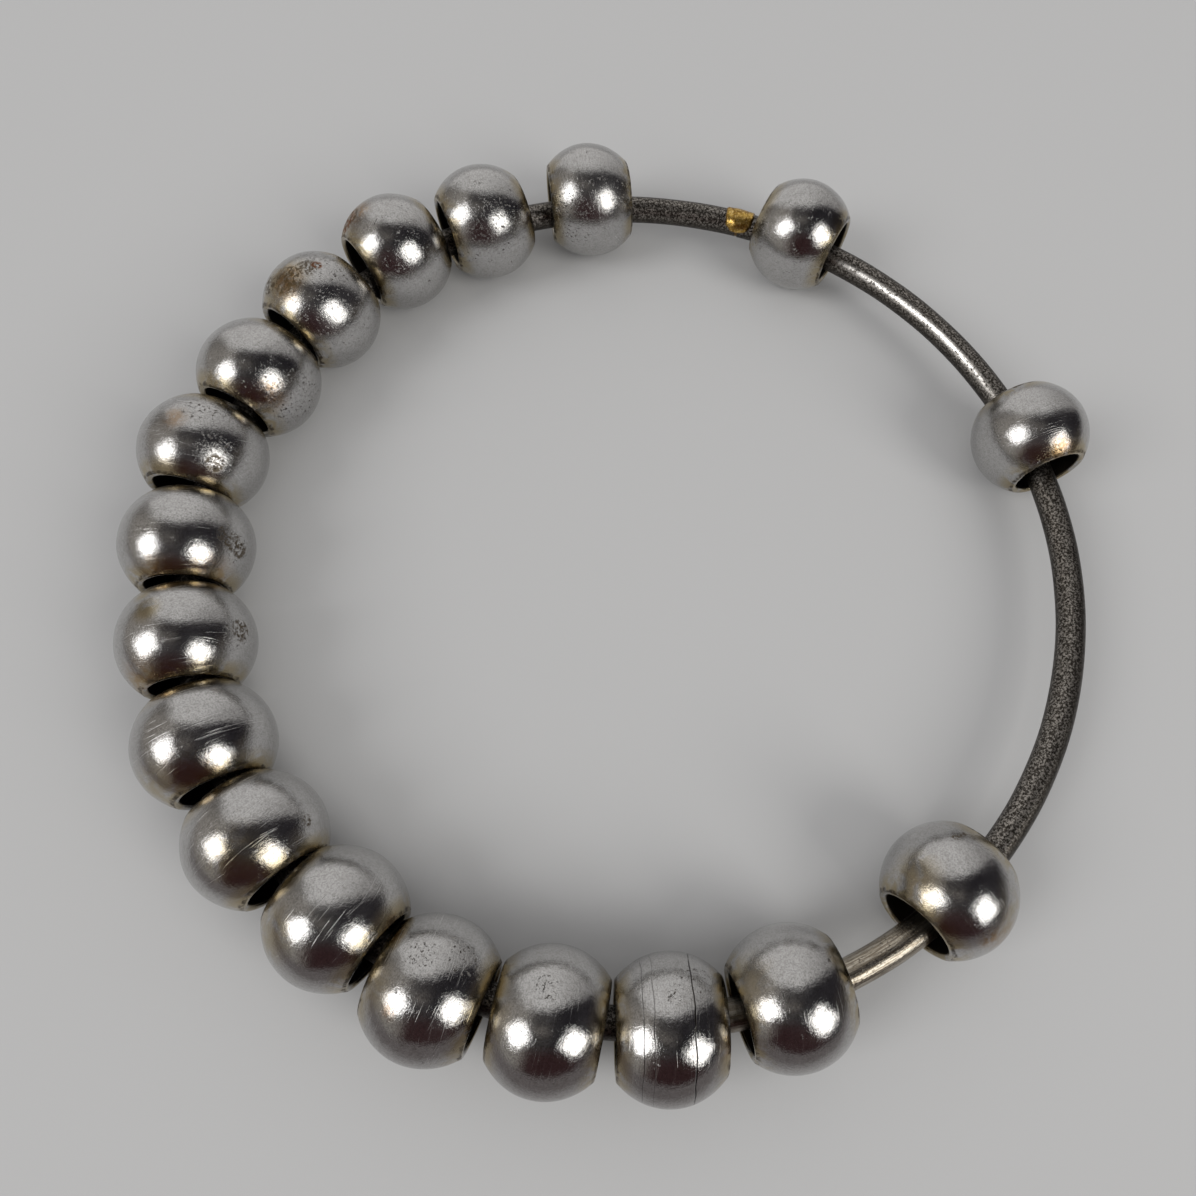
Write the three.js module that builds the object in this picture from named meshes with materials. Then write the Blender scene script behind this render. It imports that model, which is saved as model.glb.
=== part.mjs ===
// A ring of loose steel beads: 18 drilled balls threaded on one closed hoop of round steel wire.
// Millimetres, +Z up. The origin is the hoop's centre, on the plane that the beads rest on.

import * as THREE from 'three';

// Driving dimensions
const BALL_DIAMETER = 12.7;
const BORE_DIAMETER = 7.1;
const LIP_ROUNDING = 0.4; // between the bore and the ball's outside
const WIRE_DIAMETER = 3.0;
const RING_RADIUS = 46.7; // to the wire's centre line
const WIRE_HEIGHT = 5.1; // the hoop lies low in the bores, held up by the most offset beads

// The brazed joint that closes the hoop
const JOINT_ANGLE = 82.2; // degrees round the hoop
const BUTT_GAP = 0.3;
const BRAZE_LENGTH = 3.6;
const BRAZE_THICKNESS = 0.22;
const BRAZE_CLEARANCE = 0.08;
const BRAZE_FROM = -15; // degrees round the wire, 0 faces away from the hoop's centre, 90 is up
const BRAZE_TO = 165;

// How the loose beads lie: degrees clockwise from the bead before, millimetres out from the
// circle that they keep to, degrees of yaw about the vertical, degrees that the leading end is
// tipped up.
const BEAD_CIRCLE_RADIUS = 47.0;
const FIRST_BEAD_ANGLE = -44;
const TOUCHING_STEP = 12.95;
const RESTING_BEADS = [
  { step: 0, out: -1.5, yaw: 3, tip: 2 },
  { step: 22.8, out: -0.6 },
  { step: 13.7, yaw: -1 },
  { step: TOUCHING_STEP },
  { step: TOUCHING_STEP, out: 0.5, yaw: 2 },
  { step: TOUCHING_STEP, out: -0.3, yaw: 1 },
  { step: TOUCHING_STEP, out: 0.1 },
  { step: TOUCHING_STEP, out: 0.1, yaw: -1 },
  { step: TOUCHING_STEP, out: -0.4, yaw: -2 },
  { step: TOUCHING_STEP, out: -0.2, yaw: 3 },
  { step: TOUCHING_STEP, out: 0.8, yaw: 2 },
  { step: TOUCHING_STEP, out: -0.4 },
  { step: 13.5, out: -0.4 },
  { step: 14.2, out: 0.4 },
  { step: 13.7, out: -0.4 },
  { step: 16.2 },
  { step: 32.7, out: -0.2, yaw: -6 },
  { step: 47.5, out: -0.4 },
];

// Mesh fineness
const BALL_ARC_STEPS = 8;
const LIP_STEPS = 2;
const BALL_SIDES = 18;
const WIRE_SIDES = 10;
const HOOP_STEPS = 84;
const BRAZE_STEPS = 4;
const BRAZE_ARC_STEPS = 8;

const radians = THREE.MathUtils.degToRad;

const beadSteel = new THREE.MeshStandardMaterial({ color: 0x9c9a98, roughness: 0.25, metalness: 1.0 });
const wireSteel = new THREE.MeshStandardMaterial({ color: 0x4a4540, roughness: 0.45, metalness: 1.0 });
const brass = new THREE.MeshStandardMaterial({ color: 0xb08a3c, roughness: 0.35, metalness: 1.0 });

// A horizontal arc about the Z axis, at the wire's height. It runs clockwise seen from above, so
// that a cross-section carried along it keeps its x away from the hoop's centre and its y up.
class HoopArc extends THREE.Curve {
  constructor(startAngle, endAngle) {
    super();
    this.startAngle = startAngle;
    this.endAngle = endAngle;
  }

  angleAt(t) {
    return THREE.MathUtils.lerp(this.startAngle, this.endAngle, t);
  }

  getPoint(t, target = new THREE.Vector3()) {
    const angle = this.angleAt(t);
    return target.set(RING_RADIUS * Math.cos(angle), RING_RADIUS * Math.sin(angle), WIRE_HEIGHT);
  }

  computeFrenetFrames(steps) {
    const frames = { tangents: [], normals: [], binormals: [] };
    for (let i = 0; i <= steps; i += 1) {
      const angle = this.angleAt(i / steps);
      frames.tangents.push(new THREE.Vector3(Math.sin(angle), -Math.cos(angle), 0));
      frames.normals.push(new THREE.Vector3(Math.cos(angle), Math.sin(angle), 0));
      frames.binormals.push(new THREE.Vector3(0, 0, 1));
    }
    return frames;
  }
}

function alongHoop(outline, startAngle, endAngle, steps) {
  const extrudePath = new HoopArc(startAngle, endAngle);
  return new THREE.ExtrudeGeometry(new THREE.Shape(outline), { steps, extrudePath });
}

function arcPoints(radius, fromAngle, toAngle, steps, centreX = 0, centreY = 0) {
  const points = [];
  for (let i = 0; i <= steps; i += 1) {
    const angle = THREE.MathUtils.lerp(fromAngle, toAngle, i / steps);
    const x = centreX + radius * Math.cos(angle);
    const y = centreY + radius * Math.sin(angle);
    points.push(new THREE.Vector2(x, y));
  }
  return points;
}

// A ball with a large hole through it, turned about Y with the hole along Y
function beadGeometry() {
  const ballRadius = BALL_DIAMETER / 2;
  const boreRadius = BORE_DIAMETER / 2 / Math.cos(Math.PI / BALL_SIDES); // the flats clear the bore
  const lipX = boreRadius + LIP_ROUNDING;
  const lipY = Math.sqrt((ballRadius - LIP_ROUNDING) ** 2 - lipX ** 2);
  const lipAngle = Math.atan2(lipY, lipX);
  const ball = arcPoints(ballRadius, -lipAngle, lipAngle, BALL_ARC_STEPS);
  const upperLip = arcPoints(LIP_ROUNDING, lipAngle, Math.PI, LIP_STEPS, lipX, lipY);
  const lowerLip = arcPoints(LIP_ROUNDING, Math.PI, 2 * Math.PI - lipAngle, LIP_STEPS, lipX, -lipY);
  const profile = [...ball, ...upperLip.slice(1), ...lowerLip.slice(0, -1), ball[0].clone()];
  return new THREE.LatheGeometry(profile, BALL_SIDES);
}

function addBeads(group) {
  const geometry = beadGeometry();
  let angle = FIRST_BEAD_ANGLE;
  RESTING_BEADS.forEach(({ step, out = 0, yaw = 0, tip = 0 }, index) => {
    angle -= step;
    const bead = new THREE.Mesh(geometry, beadSteel);
    bead.name = `bead_${String(index + 1).padStart(2, '0')}`;
    const distance = BEAD_CIRCLE_RADIUS + out;
    bead.position.set(
      distance * Math.cos(radians(angle)),
      distance * Math.sin(radians(angle)),
      BALL_DIAMETER / 2,
    );
    bead.rotation.order = 'ZXY'; // local Y runs back along the hoop, so a tip lowers it
    bead.rotation.set(radians(-tip), 0, radians(angle + yaw));
    group.add(bead);
  });
}

function addHoop(group) {
  const jointAngle = radians(JOINT_ANGLE);
  const wireRadius = WIRE_DIAMETER / 2;

  const halfGap = BUTT_GAP / 2 / RING_RADIUS;
  const wireOutline = arcPoints(wireRadius, 0, 2 * Math.PI, WIRE_SIDES).slice(0, -1);
  const wireGeometry = alongHoop(
    wireOutline,
    jointAngle + 2 * Math.PI - halfGap,
    jointAngle + halfGap,
    HOOP_STEPS,
  );
  const wire = new THREE.Mesh(wireGeometry, wireSteel);
  wire.name = 'wire_ring';
  group.add(wire);

  const inner = wireRadius + BRAZE_CLEARANCE;
  const outer = inner + BRAZE_THICKNESS;
  const from = radians(BRAZE_FROM);
  const to = radians(BRAZE_TO);
  const saddleOutline = [
    ...arcPoints(outer, from, to, BRAZE_ARC_STEPS),
    ...arcPoints(inner, to, from, BRAZE_ARC_STEPS),
  ];
  const halfBraze = BRAZE_LENGTH / 2 / RING_RADIUS;
  const brazeGeometry = alongHoop(saddleOutline, jointAngle + halfBraze, jointAngle - halfBraze, BRAZE_STEPS);
  const braze = new THREE.Mesh(brazeGeometry, brass);
  braze.name = 'braze_joint';
  group.add(braze);
}

const part = new THREE.Group();
addHoop(part);
addBeads(part);

export default part;
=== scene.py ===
"""The looks of a closed hoop of steel wire with 18 loose drilled steel balls on it.

Metres, +Z up. The hoop's centre is over the origin, and the beads rest on the floor at z = 0.
Sizes inside a material are in millimetres, because its mesh attributes are.
"""

import math

import bpy
import numpy as np
from mathutils import Matrix, Vector


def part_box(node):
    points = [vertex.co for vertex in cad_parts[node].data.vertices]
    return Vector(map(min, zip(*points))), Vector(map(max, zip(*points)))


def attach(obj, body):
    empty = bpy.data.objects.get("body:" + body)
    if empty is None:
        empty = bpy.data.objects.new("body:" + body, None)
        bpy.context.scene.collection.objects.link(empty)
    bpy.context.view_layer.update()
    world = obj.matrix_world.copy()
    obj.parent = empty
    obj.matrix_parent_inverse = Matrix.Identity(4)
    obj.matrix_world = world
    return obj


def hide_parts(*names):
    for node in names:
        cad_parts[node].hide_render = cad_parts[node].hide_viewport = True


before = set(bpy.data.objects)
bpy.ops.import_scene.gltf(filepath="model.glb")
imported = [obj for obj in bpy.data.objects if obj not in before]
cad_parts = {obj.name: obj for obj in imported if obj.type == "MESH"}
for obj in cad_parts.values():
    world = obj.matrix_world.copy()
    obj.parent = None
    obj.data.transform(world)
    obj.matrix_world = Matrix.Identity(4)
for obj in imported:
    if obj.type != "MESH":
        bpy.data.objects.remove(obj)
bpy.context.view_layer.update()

MM = 0.001
FULL_TURN = 2 * math.pi

# The camera, over the near side of the hoop and close to it
CAMERA_PLACE = Vector((0, -41.03, 93.12)) * MM
CAMERA_YAW = 3.73  # degrees to the right of +Y
CAMERA_PITCH = 69.14  # degrees down from level
CAMERA_ROLL = 11.06
CAMERA_LENS = 27.09
CAMERA_SHIFT = (-0.0489, 0.0151)
CLIP_START = 5 * MM

# The hoop
WIRE_RADIUS = 1.5
HOOP_RADIUS = 46.7
WIRE_HEIGHT = 5.1
JOINT_ANGLE = 82.2
BUTT_GAP = 0.3
WIRE_STEPS = 900
WIRE_SIDES = 32
WIRE_SWELL = (2.0, 0.012)  # wavelength and height of its unevenness
WIRE_SWELL_SHARE = (0.25, 1, 1)  # the unevenness is drawn out along the wire
WIRE_SEED = 7

# Where the wire is rubbed, and where a highlight is painted on it: places and half widths round the
# hoop in degrees from +X towards +Y, and round the wire in radians, 0 away from the hoop's centre,
# then up
RUBBED_AT, RUBBED_WIDTH = -60, 14
PAINTED_GLEAM_AT, PAINTED_GLEAM_WIDTH = 50, 13
WEAR_AND_GLEAM_REACH = 1.6
# The painted highlight is a bright patch that stands in for a window's reflection on the wire
PAINTED_GLEAM_AROUND, PAINTED_GLEAM_SPREAD, PAINTED_GLEAM_REACH = 2.36, 0.26, 1.3
# Wear speckle gathers in a band along the wire's upper inner side, lightened there as a painted
# sheen
SHEEN_BAND_AROUND = 2.1
SHEEN_BAND_RAMP = (0.45, 0.40)  # over the cosine of the angle away from the crest

# The braze over the joint: degrees round the wire, 0 faces away from the hoop's centre, 90 is up
BRAZE_LENGTH = 3.6
BRAZE_THICKNESS = 0.28
BRAZE_FROM = -30
BRAZE_TO = 178
BRAZE_ROWS, BRAZE_COLUMNS = 60, 72
BRAZE_HIDDEN = -0.06  # where there is no brass, the mesh lies this far inside the wire
BRAZE_SQUARENESS = 3  # 2 would make the patch an ellipse, and more makes it squarer
BRAZE_EDGE, BRAZE_EDGE_WIDTH = 1.04, 0.20
BRAZE_SHOULDER, BRAZE_BULGE = 0.72, 0.28  # its thickness by the ends, and what the middle adds
BULGE_HALF, BULGE_REACH = 1.2, 1.3
BRAZE_LUMPS = (1.8, 0.05)
BRAZE_EDGE_LUMPS = (1.3, 0.12)
BRAZE_SEED = 11

# The beads
BALL_RADIUS = 6.35
BORE_RADIUS = 3.55
RIM_ROUNDING = 0.40
BEAD_COUNT = 18
BEAD_SIDES = 160
BALL_STEPS = 72
LIP_STEPS = 16
BORE_STEPS = 16
SWELLS = ((5.0, 0.016), (1.6, 0.0032))  # wavelength and height of the ball's unevenness
NO_SEAM = 50  # a place along the bore that no bead reaches
FAINT_SEAMS = ((3.4, 0.4), (4.3, 0.5))  # how far past the seam, and how dark
BEAD_SEED = 100
GRAIN_OFFSET = 400  # each bead has its own stretch of the same noise
MARK_REACH = 1.25

# Where each look of a bead starts and over how many mm it comes on: from the ball's centre for
# the first three, and along the bore for the other two
BORE_RAMP = (5.74, 0.2)
BALL_RAMP = (6.0, 0.3)
OUTSIDE_LIP_RAMP = (6.26, 0.08)
RIM_RAMP = (3.1, 1.5)
CONTACT_RAMP = (4.2, 0.5)

# The studio, in metres
FLOOR_REACH = 8.0
WINDOW_DISTANCE = 2.5


def smooth(share):
    """Smoothstep of a number or array, held between 0 and 1."""
    share = np.clip(share, 0, 1)
    return share * share * (3 - 2 * share)


def ramp(values, start, width):
    """0 up to start, 1 from start + width, and a smooth change between them."""
    return smooth((values - start) / width)


def spot(away, size, reach):
    """1 up to (reach - 1) sizes away, 0 from reach sizes away, and a smooth change between them."""
    return smooth(reach - away / size)


def direction(azimuth, elevation):
    """Unit vector: azimuth in degrees from +X towards +Y, elevation in degrees above level."""
    a, e = math.radians(azimuth), math.radians(elevation)
    return Vector((math.cos(a) * math.cos(e), math.sin(a) * math.cos(e), math.sin(e)))


# ---------------------------------------------------------------- meshes


def grid_faces(rows, columns, closed_rows):
    """Quads over a grid of points whose columns go all the way round."""
    faces = []
    for i in range(rows if closed_rows else rows - 1):
        below = (i + 1) % rows
        for j in range(columns):
            right = (j + 1) % columns
            faces.append(
                (i * columns + j, i * columns + right, below * columns + right, below * columns + j)
            )
    return faces


def mesh_object(name, points_mm, faces, floats, vectors):
    """A smooth mesh in metres, with its named float and vector point attributes."""
    mesh = bpy.data.meshes.new(name)
    mesh.from_pydata((points_mm * MM).tolist(), [], faces)
    for key, values in floats.items():
        data = mesh.attributes.new(key, "FLOAT", "POINT").data
        data.foreach_set("value", np.asarray(values, np.float32))
    for key, values in vectors.items():
        data = mesh.attributes.new(key, "FLOAT_VECTOR", "POINT").data
        data.foreach_set("vector", np.asarray(values, np.float32).ravel())
    mesh.shade_smooth()
    made = bpy.data.objects.new(name, mesh)
    bpy.context.scene.collection.objects.link(made)
    return made


def ripple(points, rng, wavelength, amplitude, waves=9):
    """A smooth uneven height at each point: a few sine waves in random directions, added up."""
    height = np.zeros(len(points))
    for _ in range(waves):
        heading = rng.normal(size=3)
        heading *= FULL_TURN / (wavelength * rng.uniform(0.7, 1.5) * np.linalg.norm(heading))
        height += np.sin(points @ heading + rng.uniform(0, FULL_TURN))
    return height * amplitude / math.sqrt(waves)


# ---------------------------------------------------------------- beads

# What each bead shows besides its own grain. polish runs from 0, dull, to 1, bright.
# turned is how strongly the turning scratches show. pitted is how many small pits there are.
# A mark is its kind, azimuth and elevation on the ball in degrees, radius in mm and strength.
# A seam is a dark hairline round the ball, that many mm along the bore, with two fainter ones.
BEADS = {
    1: {
        "polish": 0.75, "turned": 0.5, "pitted": 0.3,
        "marks": [
            ("stain", 93, 44, 0.45, 1.0),
            ("stain", 103, 47, 0.35, 1.0),
            ("stain", 84, 46, 0.35, 1.0),
            ("amber", -62, 42, 1.3, 0.9),
            ("amber", -44, 30, 2.0, 0.6),
            ("tarnish", -179, 41, 3.0, 0.8),
            ("tarnish", -24, 40, 2.6, 0.6),
        ],
    },
    2: {
        "polish": 0.8, "turned": 0.5, "pitted": 0.2,
        "marks": [("tarnish", 170, 40, 2.8, 0.6), ("pits", 62, 50, 0.8, 1.0)],
    },
    3: {
        "polish": 0.9, "turned": 0.7, "pitted": 0.4, "seam": -1.7,
        "marks": [
            ("pits", 97, 62, 0.9, 1.0),
            ("amber", -5, 35, 1.6, 0.8),
            ("pits", 70, 45, 2.0, 0.6),
        ],
    },
    4: {
        "polish": 0.9, "turned": 0.6, "pitted": 0.3,
        "marks": [("pits", 95, 63, 1.2, 1.0), ("tarnish", 178, 45, 2.0, 0.6)],
    },
    5: {
        "polish": 0.8, "turned": 1.0, "pitted": 0.5,
        "marks": [
            ("pits", 102, 62, 1.4, 1.0),
            ("tarnish", 178, 45, 2.6, 0.8),
            ("amber", -142, 62, 0.9, 0.6),
            ("pits", 45, 50, 1.6, 0.8),
        ],
    },
    6: {
        "polish": 0.75, "turned": 1.0, "pitted": 0.25,
        "marks": [("amber", -2, 27, 1.3, 0.9), ("tarnish", -158, 43, 3.0, 0.8)],
    },
    7: {
        "polish": 0.7, "turned": 1.0, "pitted": 0.3,
        "marks": [("tarnish", -66, 64, 3.4, 0.8), ("stain", 20, 32, 0.6, 0.7)],
    },
    8: {
        "polish": 0.75, "turned": 1.0, "pitted": 0.3,
        "marks": [("amber", -65, 51, 2.6, 0.5), ("tarnish", -100, 30, 3.4, 0.8)],
    },
    9: {
        "polish": 0.65, "turned": 0.9, "pitted": 0.4,
        "marks": [
            ("tarnish", 150, 72, 1.5, 1.0),
            ("tarnish", 138, 50, 1.0, 1.0),
            ("stain", 12, 22, 1.1, 1.0),
            ("pits", 8, 26, 1.6, 1.0),
            ("amber", -95, 30, 3.4, 0.7),
        ],
    },
    10: {
        "polish": 0.6, "turned": 0.6, "pitted": 0.4,
        "marks": [
            ("stain", 3, 36, 0.9, 1.0),
            ("stain", 0, 28, 1.0, 1.0),
            ("stain", -4, 17, 0.9, 0.9),
            ("amber", -82, 38, 2.4, 0.9),
            ("amber", -40, 25, 2.4, 0.6),
            ("pits", -4, 20, 1.6, 0.8),
        ],
    },
    11: {
        "polish": 0.55, "turned": 0.7, "pitted": 0.5,
        "marks": [
            ("amber", 150, 82, 1.5, 0.7),
            ("stain", -40, 42, 1.0, 0.7),
            ("pits", -30, 52, 1.8, 0.9),
            ("pits", 60, 60, 2.5, 0.5),
        ],
    },
    12: {
        "polish": 0.6, "turned": 0.5, "pitted": 0.6,
        "marks": [("amber", -51, 33, 2.0, 0.8), ("pits", -30, 15, 3.0, 1.0)],
    },
    13: {
        "polish": 0.5, "turned": 0.3, "pitted": 0.9,
        "marks": [
            ("amber", -149, 68, 2.2, 1.0),
            ("stain", -149, 70, 1.8, 1.0),
            ("stain", -167, 46, 1.2, 0.8),
            ("stain", 100, 84, 1.2, 0.9),
            ("rust", 58, 77, 0.6, 1.0),
            ("tarnish", -160, 62, 3.4, 0.9),
            ("pits", 60, 60, 3.0, 0.7),
        ],
    },
    14: {
        "polish": 0.6, "turned": 0.3, "pitted": 0.8,
        "marks": [
            ("rust", -179, 38, 1.6, 0.9),
            ("stain", 178, 44, 1.6, 0.7),
            ("amber", 175, 52, 2.2, 1.0),
            ("tarnish", 160, 30, 2.6, 0.9),
        ],
    },
    15: {
        "polish": 0.5, "turned": 0.3, "pitted": 0.8,
        "marks": [("amber", -139, 27, 1.8, 0.7), ("pits", -60, 40, 3.0, 0.7)],
    },
    16: {
        "polish": 0.45, "turned": 0.5, "pitted": 0.7,
        "marks": [("pits", -107, 22, 3.0, 1.0), ("tarnish", 178, 40, 2.0, 0.7)],
    },
    17: {
        "polish": 0.7, "turned": 0.4, "pitted": 0.7,
        "marks": [("pits", -151, 22, 1.6, 1.0), ("tarnish", -20, 35, 2.4, 0.7)],
    },
    18: {
        "polish": 0.6, "turned": 0.5, "pitted": 0.5,
        "marks": [
            ("stain", 130, 40, 0.5, 1.0),
            ("amber", -72, 45, 2.0, 0.9),
            ("pits", -80, 36, 1.8, 1.0),
            ("tarnish", -91, 25, 3.2, 1.0),
        ],
    },
}
MARK_KINDS = ("rust", "amber", "tarnish", "stain", "pits")


def arc(centre, radius, from_angle, to_angle, steps):
    """Points of an arc in the lathe's plane, without its last one."""
    angles = np.linspace(from_angle, to_angle, steps, endpoint=False)
    return np.stack([centre[0] + radius * np.cos(angles), centre[1] + radius * np.sin(angles)], 1)


def bead_profile():
    """The closed outline that is turned: distance from the bore's axis, and place along it."""
    rim_radius = BORE_RADIUS + RIM_ROUNDING
    rim_height = math.sqrt((BALL_RADIUS - RIM_ROUNDING) ** 2 - rim_radius**2)
    rim_angle = math.atan2(rim_height, rim_radius)
    bore = np.linspace(rim_height, -rim_height, BORE_STEPS, endpoint=False)
    return np.concatenate([
        arc((0, 0), BALL_RADIUS, -rim_angle, rim_angle, BALL_STEPS),
        arc((rim_radius, rim_height), RIM_ROUNDING, rim_angle, math.pi, LIP_STEPS),
        np.stack([np.full(len(bore), BORE_RADIUS), bore], 1),
        arc((rim_radius, -rim_height), RIM_ROUNDING, math.pi, FULL_TURN - rim_angle, LIP_STEPS),
    ])


def bead_matrix(node):
    """Where a CAD bead is, in mm: its Z runs along the bore, clockwise round the hoop."""
    low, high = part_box(node)
    centre = (low + high) / 2
    points = np.array([v.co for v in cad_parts[node].data.vertices])
    spread, axes = np.linalg.eigh(np.cov((points - np.array(centre)).T))
    odd_one_out = int(np.argmax(np.abs(spread - np.median(spread))))
    along = Vector(axes[:, odd_one_out])
    if along.dot(Vector((centre.y, -centre.x, 0))) < 0:
        along = -along
    turn = along.to_track_quat("Z", "Y").to_matrix().to_4x4()
    return Matrix.Translation(centre / MM) @ turn


def marked(points, marks, kind):
    """How strongly one kind of mark covers each point of a ball, from 0 to 1."""
    cover = np.zeros(len(points))
    for mark, azimuth, elevation, radius, strength in marks:
        if mark == kind:
            middle = np.array(direction(azimuth, elevation)) * BALL_RADIUS
            away = np.linalg.norm(points - middle, axis=1)
            cover = np.maximum(cover, strength * spot(away, radius, MARK_REACH))
    return cover


def make_bead(number, material):
    """The fine mesh of one bead, in place of its CAD solid."""
    node = f"bead_{number:02d}"
    look = BEADS[number]
    rng = np.random.default_rng(BEAD_SEED + number)
    profile = bead_profile()
    angles = np.linspace(0, FULL_TURN, BEAD_SIDES, endpoint=False)
    rho = np.repeat(profile[:, 0], BEAD_SIDES)
    along = np.repeat(profile[:, 1], BEAD_SIDES)
    around = np.tile(angles, len(profile))
    local = np.stack([rho * np.cos(around), rho * np.sin(around), along], 1)

    from_centre = np.linalg.norm(local, axis=1)
    on_ball = ramp(from_centre, *BALL_RAMP)
    swell = sum(ripple(local, rng, wavelength, height) for wavelength, height in SWELLS)
    local += local / from_centre[:, None] * (swell * on_ball)[:, None]

    place = bead_matrix(node)
    turn = np.array(place.to_3x3())
    shown = local @ turn.T
    points = shown + np.array(place.translation)

    offset = rng.uniform(-GRAIN_OFFSET, GRAIN_OFFSET, 3)
    floats = {kind: marked(shown, look["marks"], kind) for kind in MARK_KINDS}
    floats["bore"] = 1 - ramp(from_centre, *BORE_RAMP)
    floats["rim"] = ramp(np.abs(along), *RIM_RAMP)
    floats["contact"] = ramp(np.abs(along), *CONTACT_RAMP) * ramp(from_centre, *OUTSIDE_LIP_RAMP)
    floats["along"] = along - look.get("seam", NO_SEAM)
    for key in ("polish", "turned", "pitted"):
        floats[key] = np.full(len(points), look[key])
    faces = grid_faces(len(profile), BEAD_SIDES, True)
    bead = mesh_object(f"steel_{node}", points, faces, floats, {"grain": local + offset})
    bead.data.materials.append(material)
    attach(bead, node)
    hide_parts(node)


# ---------------------------------------------------------------- hoop and braze


def swept(arc_mm, around, radius):
    """Points on a round section carried clockwise along the hoop, from the joint."""
    angle = math.radians(JOINT_ANGLE) - arc_mm / HOOP_RADIUS
    reach = HOOP_RADIUS + radius * np.cos(around)
    return np.stack(
        [reach * np.cos(angle), reach * np.sin(angle), WIRE_HEIGHT + radius * np.sin(around)], 1
    )


def tube_faces(rows, columns):
    """Faces round an open tube, facing out, with one polygon closing each end."""
    sides = [face[::-1] for face in grid_faces(rows, columns, False)]
    first = tuple(range(columns))
    last = tuple(range(rows * columns - 1, (rows - 1) * columns - 1, -1))
    return [*sides, first, last]


def make_wire(material):
    """The hoop: one drawn wire, bent round until its ends all but meet."""
    rng = np.random.default_rng(WIRE_SEED)
    length = FULL_TURN * HOOP_RADIUS - BUTT_GAP
    stations = BUTT_GAP / 2 + np.linspace(0, length, WIRE_STEPS)
    angles = np.linspace(0, FULL_TURN, WIRE_SIDES, endpoint=False)
    arc_mm = np.repeat(stations, WIRE_SIDES)
    around = np.tile(angles, WIRE_STEPS)
    section = np.stack([arc_mm, WIRE_RADIUS * np.cos(around), WIRE_RADIUS * np.sin(around)], 1)
    uneven = ripple(section * WIRE_SWELL_SHARE, rng, *WIRE_SWELL)
    points = swept(arc_mm, around, WIRE_RADIUS + uneven)
    azimuth = JOINT_ANGLE - np.degrees(arc_mm / HOOP_RADIUS)
    rubbed = spot(np.abs(azimuth - RUBBED_AT), RUBBED_WIDTH, WEAR_AND_GLEAM_REACH)
    # The band of wear speckle along the wire's upper inner side, which is partly a painted sheen
    speckle_sheen_band = ramp(np.cos(around - SHEEN_BAND_AROUND), *SHEEN_BAND_RAMP)
    # A painted highlight: a bright patch near the joint on the wire's upper inner side, standing in
    # for a reflection
    painted_gleam = spot(np.abs(azimuth - PAINTED_GLEAM_AT), PAINTED_GLEAM_WIDTH, WEAR_AND_GLEAM_REACH)
    painted_gleam *= spot(np.abs(around - PAINTED_GLEAM_AROUND), PAINTED_GLEAM_SPREAD, PAINTED_GLEAM_REACH)
    wire = mesh_object(
        "drawn_wire_hoop",
        points,
        tube_faces(WIRE_STEPS, WIRE_SIDES),
        {"rubbed": rubbed, "speckle_sheen_band": speckle_sheen_band, "painted_gleam": painted_gleam},
        {"grain": section},
    )
    wire.data.materials.append(material)
    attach(wire, "ring")
    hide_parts("wire_ring")


def make_braze(material):
    """Brass run into the joint and over the wire's outer and upper sides, as one rounded bead."""
    rng = np.random.default_rng(BRAZE_SEED)
    half = BRAZE_LENGTH / 2
    arc_mm = np.repeat(np.linspace(-half, half, BRAZE_ROWS), BRAZE_COLUMNS)
    around = np.tile(np.linspace(0, FULL_TURN, BRAZE_COLUMNS, endpoint=False), BRAZE_ROWS)
    section = np.stack([arc_mm, WIRE_RADIUS * np.cos(around), WIRE_RADIUS * np.sin(around)], 1)
    middle = math.radians((BRAZE_FROM + BRAZE_TO) / 2)
    half_width = math.radians((BRAZE_TO - BRAZE_FROM) / 2)
    off_middle = np.abs((around - middle + math.pi) % FULL_TURN - math.pi)
    lumps = ripple(section, rng, *BRAZE_LUMPS)
    edge = ripple(section, rng, *BRAZE_EDGE_LUMPS)
    power = BRAZE_SQUARENESS
    reach = ((np.abs(arc_mm) / half) ** power + (off_middle / half_width) ** power) ** (1 / power)
    cover = smooth((BRAZE_EDGE - reach) / BRAZE_EDGE_WIDTH + edge)
    cover = cover * (BRAZE_SHOULDER + BRAZE_BULGE * spot(np.abs(arc_mm), BULGE_HALF, BULGE_REACH))
    thickness = BRAZE_HIDDEN + cover * (BRAZE_THICKNESS - BRAZE_HIDDEN + lumps)
    points = swept(arc_mm, around, WIRE_RADIUS + thickness)
    braze = mesh_object(
        "brass_braze",
        points,
        tube_faces(BRAZE_ROWS, BRAZE_COLUMNS),
        {"cover": cover},
        {"grain": section},
    )
    braze.data.materials.append(material)
    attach(braze, "ring")
    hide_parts("braze_joint")


# ---------------------------------------------------------------- materials

# Colours of the steel beads and of what lies on them
GREY_STEEL = (0.46, 0.455, 0.45, 1)
PALE_STEEL = (0.57, 0.56, 0.55, 1)
FINE_GREY = (0.24, 0.235, 0.225, 1)
MOTTLE_GREY = (0.27, 0.255, 0.24, 1)
STREAK_GREY = (0.30, 0.28, 0.26, 1)
SCRATCH_BRIGHT = (0.78, 0.77, 0.75, 1)
TARNISH_YELLOW = (0.38, 0.31, 0.18, 1)
AMBER_BROWN = (0.30, 0.17, 0.06, 1)
STAIN_BROWN = (0.085, 0.058, 0.027, 1)
PIT_BLACK = (0.05, 0.038, 0.028, 1)
GRIME_AND_SHADE_BLACK = (0.055, 0.042, 0.028, 1)
SEAM_BLACK = (0.05, 0.045, 0.045, 1)
DARK_RUST = (0.11, 0.035, 0.015, 1)
PALE_RUST = (0.34, 0.15, 0.06, 1)
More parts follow.
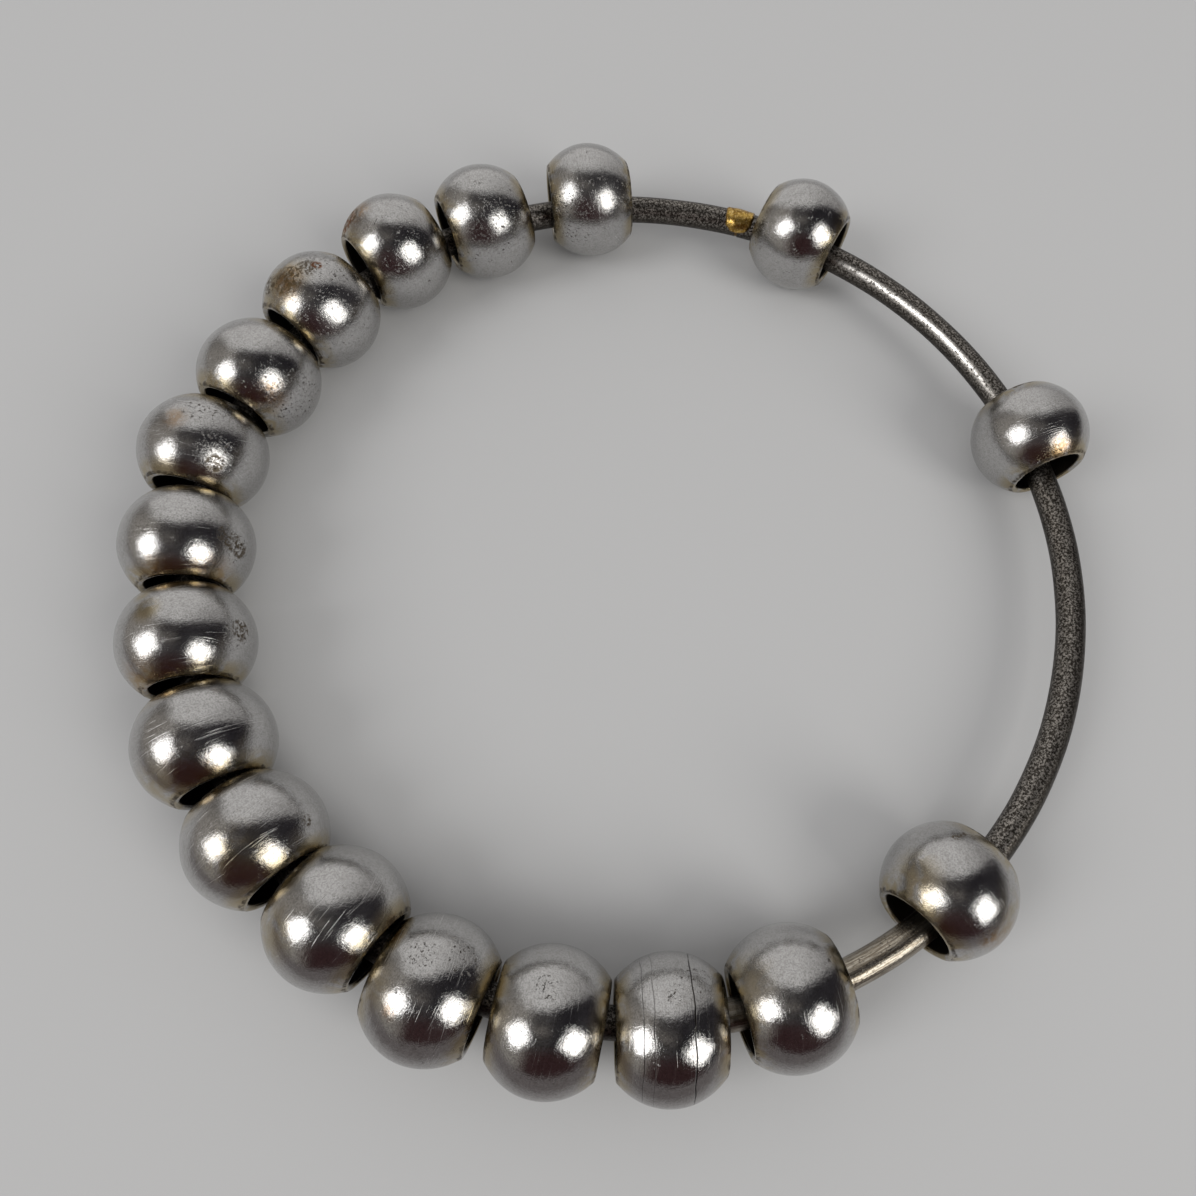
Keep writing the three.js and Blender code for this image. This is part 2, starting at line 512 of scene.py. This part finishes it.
BORE_GRIME_AND_SHADE = (0.03, 0.024, 0.018, 1)

# Colours of the wire
WIRE_BLACK = (0.030, 0.026, 0.022, 1)
WIRE_BROWN = (0.085, 0.075, 0.065, 1)
WIRE_WORN_SHEEN = (0.42, 0.39, 0.355, 1)
WIRE_PAINTED_GLEAM = (0.80, 0.78, 0.75, 1)
RUBBED_DULL = (0.24, 0.20, 0.15, 1)
RUBBED_BRIGHT = (0.50, 0.46, 0.39, 1)
RUBBED_SPECK = (0.06, 0.045, 0.03, 1)

# Colours of the braze
DEEP_BRASS = (0.26, 0.14, 0.025, 1)
YELLOW_BRASS = (0.62, 0.40, 0.10, 1)
BRIGHT_GRANULE = (0.92, 0.72, 0.36, 1)
DARK_GRANULE = (0.12, 0.065, 0.02, 1)
BRASS_SCALE = (0.14, 0.085, 0.035, 1)


class Nodes:
    """Short calls that add nodes to one node tree. Each returns the new node's main output."""

    def __init__(self, tree):
        self.tree = tree

    def add(self, kind, inputs, **settings):
        """A node with these settings, whose inputs are numbers, colours or other nodes' outputs."""
        node = self.tree.nodes.new(kind)
        for key, value in settings.items():
            setattr(node, key, value)
        for key, value in inputs.items():
            if isinstance(value, bpy.types.NodeSocket):
                self.tree.links.new(value, node.inputs[key])
            else:
                node.inputs[key].default_value = value
        return node

    def attribute(self, name, output="Fac"):
        """One of the mesh's own point attributes."""
        return self.add("ShaderNodeAttribute", {}, attribute_name=name).outputs[output]

    def math(self, operation, a, b=0.0):
        """Arithmetic on two numbers, or on one."""
        return self.add("ShaderNodeMath", {0: a, 1: b}, operation=operation).outputs[0]

    def scaled(self, vector, factors):
        """The vector stretched by its own factor along each axis."""
        inputs = {0: vector, 1: factors}
        return self.add("ShaderNodeVectorMath", inputs, operation="MULTIPLY").outputs[0]

    def rotated(self, vector, degrees):
        """The vector turned about the X axis."""
        inputs = {"Vector": vector, "Angle": math.radians(degrees)}
        return self.add("ShaderNodeVectorRotate", inputs, rotation_type="X_AXIS").outputs[0]

    def noise(self, vector, scale, detail=2.0, roughness=0.5, distortion=0.0):
        """Cloudy noise from 0 to 1, mostly near 0.5."""
        inputs = {
            "Vector": vector,
            "Scale": scale,
            "Detail": detail,
            "Roughness": roughness,
            "Distortion": distortion,
        }
        return self.add("ShaderNodeTexNoise", inputs).outputs["Fac"]

    def fade(self, value, start, end, low=0.0, high=1.0):
        """low up to start, high from end, and a smooth change between them."""
        inputs = {"Value": value, "From Min": start, "From Max": end, "To Min": low, "To Max": high}
        return self.add("ShaderNodeMapRange", inputs, interpolation_type="SMOOTHSTEP").outputs[0]

    def mix(self, factor, a, b):
        """A colour between a and b."""
        inputs = {"Factor": factor, 6: a, 7: b}
        return self.add("ShaderNodeMix", inputs, data_type="RGBA").outputs[2]

    def blend(self, factor, a, b):
        """A number between a and b."""
        inputs = {"Factor": factor, 2: a, 3: b}
        return self.add("ShaderNodeMix", inputs, data_type="FLOAT").outputs[0]

    def bump(self, height, distance, strength=1.0, normal=None):
        """A normal tilted by this height, which is distance mm deep, on top of another normal."""
        inputs = {"Height": height, "Distance": distance * MM, "Strength": strength}
        if normal is not None:
            inputs["Normal"] = normal
        return self.add("ShaderNodeBump", inputs).outputs[0]


def metal(name):
    """A new material with its Principled shader and a Nodes for its tree."""
    material = bpy.data.materials.new(name)
    material.use_nodes = True
    shader = material.node_tree.nodes["Principled BSDF"]
    shader.inputs["Metallic"].default_value = 1.0
    return material, shader, Nodes(material.node_tree)


def connect(nodes, shader, **sockets):
    """Link outputs to the shader's inputs of the same names, with _ for a space."""
    for key, value in sockets.items():
        nodes.tree.links.new(value, shader.inputs[key.replace("_", " ")])


def bead_steel():
    """Turned and tumbled steel, worn bright, with pits, stains, rust and tarnished rims."""
    material, shader, n = metal("worn_bead_steel")
    grain = n.attribute("grain", "Vector")
    bore = n.attribute("bore")
    rim = n.attribute("rim")
    contact = n.attribute("contact")
    turned = n.attribute("turned")

    fine = n.noise(grain, 7.0, 4.0, 0.7)
    mottle = n.noise(grain, 2.6, 4.0, 0.65, 0.4)
    broad = n.noise(grain, 0.35, 2.0, 0.5)
    patchy = n.noise(grain, 0.55, 3.0, 0.6, 0.6)
    ragged = n.noise(grain, 1.7, 4.0, 0.7)

    # Turning marks lie square to the bore, and loose scratches lie a little askew.
    streaks = n.noise(n.scaled(grain, (0.22, 0.22, 8.0)), 1.0, 3.0, 0.65)
    scratches = 0.0
    for askew in (7, -12, 24):
        askew_grain = n.rotated(grain, askew)
        lines = n.fade(n.noise(n.scaled(askew_grain, (0.09, 0.09, 6.5)), 1.0, 1.0), 0.67, 0.72)
        here = n.fade(n.noise(askew_grain, 0.40, 1.0), 0.47, 0.58)
        scratches = n.math("MAXIMUM", scratches, n.math("MULTIPLY", lines, here))
    scratches = n.math("MULTIPLY", scratches, turned)

    specks = n.fade(n.noise(grain, 3.6, 3.0, 0.7, 0.5), 0.57, 0.66)
    pit_amount = n.math("ADD", n.attribute("pits"), n.math("MULTIPLY", n.attribute("pitted"), 0.30))
    pit_here = n.fade(n.math("ADD", n.noise(grain, 1.1, 3.0, 0.7), pit_amount), 0.70, 0.98)
    pits = n.math("MULTIPLY", specks, pit_here)

    steel = n.mix(broad, GREY_STEEL, PALE_STEEL)
    steel = n.mix(n.fade(fine, 0.42, 0.68, 0.0, 0.62), steel, FINE_GREY)
    steel = n.mix(n.fade(mottle, 0.48, 0.70, 0.0, 0.42), steel, MOTTLE_GREY)
    steel = n.mix(n.fade(streaks, 0.54, 0.74, 0.0, 0.25), steel, STREAK_GREY)
    steel = n.mix(n.math("MULTIPLY", scratches, 0.28), steel, SCRATCH_BRIGHT)

    rim_tarnish = n.math("MULTIPLY", rim, n.fade(patchy, 0.32, 0.54))
    tarnish_cover = n.math("MULTIPLY", n.attribute("tarnish"), n.fade(patchy, 0.30, 0.55))
    tarnish = n.math("MAXIMUM", rim_tarnish, tarnish_cover)
    steel = n.mix(n.math("MULTIPLY", tarnish, 0.85), steel, TARNISH_YELLOW)
    amber = n.math("MULTIPLY", n.attribute("amber"), n.fade(ragged, 0.36, 0.58, 0.25, 1.0))
    steel = n.mix(n.math("MULTIPLY", amber, 0.85), steel, AMBER_BROWN)
    blotches = n.fade(n.noise(grain, 2.0, 5.0, 0.78, 0.8), 0.46, 0.53)
    stain = n.math("MULTIPLY", n.fade(n.attribute("stain"), 0.0, 0.35), blotches)
    steel = n.mix(n.math("MULTIPLY", stain, 0.85), steel, STAIN_BROWN)
    steel = n.mix(n.math("MULTIPLY", pits, 0.9), steel, PIT_BLACK)

    # The shoulders by the bore, where the beads touch, are darkened brown-black: packed dirt, and
    # painted shade between the beads.
    grime_and_shade = n.fade(n.math("ADD", n.math("MULTIPLY", contact, 0.55), ragged), 0.90, 1.14)
    steel = n.mix(n.math("MULTIPLY", grime_and_shade, 0.85), steel, GRIME_AND_SHADE_BLACK)

    wavy = n.math("ADD", n.attribute("along"), n.fade(broad, 0.3, 0.7, -0.08, 0.08))
    seam = n.fade(n.math("ABSOLUTE", wavy), 0.03, 0.075, 1.0, 0.0)
    for past_seam, darkness in FAINT_SEAMS:
        beside = n.math("ABSOLUTE", n.math("SUBTRACT", wavy, past_seam))
        seam = n.math("MAXIMUM", seam, n.fade(beside, 0.02, 0.06, darkness, 0.0))
    seam = n.math("MULTIPLY", seam, n.fade(patchy, 0.30, 0.45, 0.35, 1.0))
    steel = n.mix(seam, steel, SEAM_BLACK)

    rust = n.math("MULTIPLY", n.fade(n.attribute("rust"), 0.0, 0.5), n.fade(ragged, 0.44, 0.54))
    rust_colour = n.mix(n.noise(grain, 5.0, 2.0), DARK_RUST, PALE_RUST)
    steel = n.mix(n.math("MULTIPLY", rust, 0.9), steel, rust_colour)
    # The bore's inside is painted near-black: grime, and painted shade in the hole
    steel = n.mix(bore, steel, BORE_GRIME_AND_SHADE)

    roughness = n.blend(n.attribute("polish"), 0.26, 0.095)
    roughness = n.math("ADD", roughness, n.fade(streaks, 0.35, 0.7, -0.02, 0.03))
    roughness = n.math("ADD", roughness, n.fade(broad, 0.35, 0.65, -0.02, 0.04))
    roughness = n.math("ADD", roughness, n.math("MULTIPLY", scratches, 0.12))
    for dull, rougher in ((pits, 0.25), (rust, 0.4), (stain, 0.3), (grime_and_shade, 0.3)):
        roughness = n.math("ADD", roughness, n.math("MULTIPLY", dull, rougher))
    roughness = n.blend(bore, roughness, 0.55)

    cut = n.math("ADD", n.math("MULTIPLY", pits, -1.0), n.math("MULTIPLY", seam, -0.8))
    cut = n.math("ADD", cut, n.math("MULTIPLY", scratches, -0.14))
    cut = n.math("ADD", cut, n.math("MULTIPLY", rust, 0.6))
    normal = n.bump(streaks, 0.02, 0.25)
    normal = n.bump(mottle, 0.03, 0.6, normal)
    normal = n.bump(fine, 0.014, 0.6, normal)
    normal = n.bump(cut, 0.05, 0.8, normal)
    connect(n, shader, Base_Color=steel, Roughness=roughness, Normal=normal)
    return material


def wire_steel():
    """Drawn wire, dark with age, with wear speckle in a lighter band along its upper inner side
    that is partly a painted sheen, a painted highlight near the joint, and rubbed bright where
    beads run.
    """
    material, shader, n = metal("aged_wire_steel")
    grain = n.attribute("grain", "Vector")
    rubbed = n.attribute("rubbed")
    speckle_sheen_band = n.attribute("speckle_sheen_band")
    mottle = n.noise(n.scaled(grain, (2.2, 3.0, 3.0)), 1.0, 5.0, 0.75)
    speckle = n.noise(grain, 4.2, 3.0, 0.75)
    drawn = n.noise(n.scaled(grain, (0.35, 6.0, 6.0)), 1.0, 3.0, 0.6)
    rings = n.noise(n.scaled(grain, (9.0, 0.4, 0.4)), 1.0, 2.0, 0.6)

    dark = n.mix(n.fade(mottle, 0.38, 0.68), WIRE_BLACK, WIRE_BROWN)
    # Wear speckle, made lighter in the band along the upper inner side as a painted sheen
    worn_speckle_and_sheen = n.math("MULTIPLY", n.fade(speckle, 0.46, 0.60), n.blend(speckle_sheen_band, 0.15, 0.90))
    dark = n.mix(worn_speckle_and_sheen, dark, WIRE_WORN_SHEEN)
    # The painted highlight near the joint, standing in for a window's reflection on the wire
    painted_gleam = n.math("MULTIPLY", n.attribute("painted_gleam"), n.fade(mottle, 0.38, 0.50))
    dark = n.mix(painted_gleam, dark, WIRE_PAINTED_GLEAM)
    bright = n.mix(n.fade(drawn, 0.35, 0.65), RUBBED_DULL, RUBBED_BRIGHT)
    bright = n.mix(n.fade(speckle, 0.56, 0.64, 0.0, 0.8), bright, RUBBED_SPECK)
    colour = n.mix(n.math("MULTIPLY", rubbed, n.fade(mottle, 0.25, 0.5, 0.55, 1.0)), dark, bright)
    roughness = n.fade(mottle, 0.3, 0.7, 0.50, 0.34)
    roughness = n.blend(rubbed, roughness, 0.27)
    roughness = n.blend(painted_gleam, roughness, 0.24)
    normal = n.bump(drawn, 0.03, 0.5)
    normal = n.bump(speckle, 0.03, 0.7, normal)
    normal = n.bump(rings, 0.02, n.blend(rubbed, 0.3, 0.9), normal)
    connect(n, shader, Base_Color=colour, Roughness=roughness, Normal=normal)
    return material


def braze_brass():
    """Deep yellow brass, lumpy and granular from the torch, and darker in its hollows."""
    material, shader, n = metal("torched_braze_brass")
    grain = n.attribute("grain", "Vector")
    lumps = n.noise(grain, 1.6, 3.0, 0.6)
    granules = n.noise(grain, 5.0, 3.0, 0.7)
    brass = n.mix(n.fade(lumps, 0.35, 0.65), DEEP_BRASS, YELLOW_BRASS)
    brass = n.mix(n.fade(granules, 0.54, 0.66, 0.0, 0.8), brass, BRIGHT_GRANULE)
    brass = n.mix(n.fade(granules, 0.46, 0.34, 0.0, 0.7), brass, DARK_GRANULE)
    scale = n.fade(n.attribute("cover"), 0.2, 0.75, 0.8, 0.0)
    brass = n.mix(scale, brass, BRASS_SCALE)
    roughness = n.fade(lumps, 0.3, 0.7, 0.42, 0.26)
    normal = n.bump(lumps, 0.06, 0.7)
    normal = n.bump(granules, 0.03, 0.8, normal)
    connect(n, shader, Base_Color=brass, Roughness=roughness, Normal=normal)
    return material


# ---------------------------------------------------------------- studio

# Colours of the floor and of the room that the steel reflects
FLOOR_COLOUR = (0.55, 0.547, 0.545, 1)
FLOOR_NEAR_SHADE = (0.20, 0.18, 0.18, 1)
ROOM_RIGHT = (0.028, 0.026, 0.030, 1)
ROOM_LEFT = (0.070, 0.066, 0.066, 1)
ROOM_BEHIND = (0.050, 0.026, 0.027, 1)
LEFT_WALL_NEAR = (0.34, 0.318, 0.292, 1)
LEFT_WALL_FAR = (0.22, 0.208, 0.195, 1)
RIGHT_END = (0.08, 0.07, 0.062, 1)
GLOW = (0.19, 0.175, 0.16, 1)
PALE_LEFT = (0.76, 0.75, 0.74, 1)
PALE_RIGHT = (0.36, 0.35, 0.345, 1)
HORIZON = (0.22, 0.21, 0.21, 1)
FILL_LIGHT = (0.50, 0.50, 0.505, 1)
BACKDROP = (0.46, 0.455, 0.45, 1)


def make_floor():
    """A plain pale sheet under everything, with painted shade on its near side that only the
    steel's reflections show.
    """
    mesh = bpy.data.meshes.new("floor")
    signs = ((-1, -1), (1, -1), (1, 1), (-1, 1))
    corners = [(x * FLOOR_REACH, y * FLOOR_REACH, 0) for x, y in signs]
    mesh.from_pydata(corners, [], [(0, 1, 2, 3)])
    floor = bpy.data.objects.new("floor", mesh)
    bpy.context.scene.collection.objects.link(floor)
    material = bpy.data.materials.new("plain_floor")
    material.use_nodes = True
    shader = material.node_tree.nodes["Principled BSDF"]
    n = Nodes(material.node_tree)
    position = n.add("ShaderNodeNewGeometry", {}).outputs["Position"]
    place = n.add("ShaderNodeSeparateXYZ", {0: position})
    # Painted shade: the steel reflects the floor's near side darker, as if something stood over it
    # there.
    near_side_shade = n.fade(place.outputs[1], -0.045, -0.08)
    in_steel = n.add("ShaderNodeLightPath", {}).outputs["Is Glossy Ray"]
    shaded = n.math("MULTIPLY", near_side_shade, in_steel)
    colour = n.mix(shaded, FLOOR_COLOUR, FLOOR_NEAR_SHADE)
    shader.inputs["Roughness"].default_value = 0.9
    shader.inputs["Specular IOR Level"].default_value = 0.1
    connect(n, shader, Base_Color=colour)
    floor.data.materials.append(material)


def make_window(name, azimuth, elevation, width_degrees, height_degrees, radiance, colour):
    """A soft square light that looks that wide and tall from the hoop."""
    lamp = bpy.data.lights.new(name, "AREA")
    lamp.shape = "RECTANGLE"
    lamp.size = 2 * WINDOW_DISTANCE * math.tan(math.radians(width_degrees / 2))
    lamp.size_y = 2 * WINDOW_DISTANCE * math.tan(math.radians(height_degrees / 2))
    lamp.energy = radiance * math.pi * lamp.size * lamp.size_y
    lamp.color = colour
    light = bpy.data.objects.new(name, lamp)
    towards = direction(azimuth, elevation)
    light.location = towards * WINDOW_DISTANCE
    light.rotation_mode = "QUATERNION"
    light.rotation_quaternion = towards.to_track_quat("Z", "Y")
    light.visible_camera = False
    bpy.context.scene.collection.objects.link(light)


def make_room():
    """What the steel reflects: pale wall and ceiling beyond the hoop, and a dark near side."""
    world = bpy.data.worlds.new("room")
    bpy.context.scene.world = world
    world.use_nodes = True
    n = Nodes(world.node_tree)
    towards = n.add("ShaderNodeTexCoord", {}).outputs["Generated"]
    parts = n.add("ShaderNodeSeparateXYZ", {0: towards}).outputs
    x, y, z = parts[0], parts[1], parts[2]

    # A dim room, with a dark reddish side at the camera's back
    colour = n.mix(n.fade(x, 0.35, -0.1), ROOM_RIGHT, ROOM_LEFT)
    colour = n.mix(n.fade(y, -0.50, -0.80), colour, ROOM_BEHIND)
    left_wall = n.mix(n.fade(y, 0.20, 0.50), LEFT_WALL_NEAR, LEFT_WALL_FAR)
    colour = n.mix(n.fade(x, -0.30, -0.62), colour, left_wall)
    colour = n.mix(n.fade(x, 0.90, 0.98), colour, RIGHT_END)

    # A faint glow low at the camera's back
    glow_side = n.fade(n.math("ABSOLUTE", n.math("ADD", x, 0.15)), 0.32, 0.10)
    glow_band = n.fade(n.math("ABSOLUTE", n.math("ADD", y, 0.22)), 0.14, 0.05)
    colour = n.mix(n.math("MULTIPLY", glow_side, glow_band), colour, GLOW)

    # The pale wall and ceiling beyond the hoop, whose lower and left edges slant
    lower_edge = n.math("SUBTRACT", y, n.math("MULTIPLY", n.math("MAXIMUM", x, 0.0), 0.42))
    left_edge = n.math("ADD", x, n.math("MULTIPLY", y, 0.45))
    pale = n.math("MULTIPLY", n.fade(lower_edge, 0.22, 0.33), n.fade(left_edge, -0.56, -0.44))
    pale_colour = n.mix(n.fade(x, -0.1, 0.85), PALE_LEFT, PALE_RIGHT)
    colour = n.mix(pale, colour, pale_colour)
    colour = n.mix(n.fade(z, 0.07, 0.03), colour, HORIZON)

    # Soft light for the floor, and an even grey where the room itself is seen
    rays = n.add("ShaderNodeLightPath", {}).outputs
    colour = n.mix(rays["Is Diffuse Ray"], colour, FILL_LIGHT)
    colour = n.mix(rays["Is Camera Ray"], colour, BACKDROP)
    background = world.node_tree.nodes["Background"]
    n.tree.links.new(colour, background.inputs["Color"])


def make_camera():
    """The camera, turned by its yaw, then its pitch, then its roll."""
    yaw, pitch, roll = (math.radians(a) for a in (CAMERA_YAW, CAMERA_PITCH, CAMERA_ROLL))
    forward = Vector(
        (math.sin(yaw) * math.cos(pitch), math.cos(yaw) * math.cos(pitch), -math.sin(pitch))
    )
    level_right = Vector((math.cos(yaw), -math.sin(yaw), 0))
    level_up = level_right.cross(forward)
    right = math.cos(roll) * level_right + math.sin(roll) * level_up
    up = math.cos(roll) * level_up - math.sin(roll) * level_right
    lens = bpy.data.cameras.new("camera")
    lens.lens = CAMERA_LENS
    lens.shift_x, lens.shift_y = CAMERA_SHIFT
    lens.clip_start = CLIP_START
    camera = bpy.data.objects.new("camera", lens)
    turn = Matrix((right, up, -forward)).transposed().to_4x4()
    camera.matrix_world = Matrix.Translation(CAMERA_PLACE) @ turn
    bpy.context.scene.collection.objects.link(camera)
    bpy.context.scene.camera = camera


make_camera()
make_room()
make_window("left_window", -151, 40, 25, 29, 4.0, (1.0, 1.0, 1.0))
make_window("right_window", -31, 36, 28, 32, 4.0, (1.0, 0.99, 0.96))
make_floor()
bpy.context.scene.view_settings.view_transform = "Standard"

make_wire(wire_steel())
make_braze(braze_brass())
steel = bead_steel()
for number in range(1, BEAD_COUNT + 1):
    make_bead(number, steel)
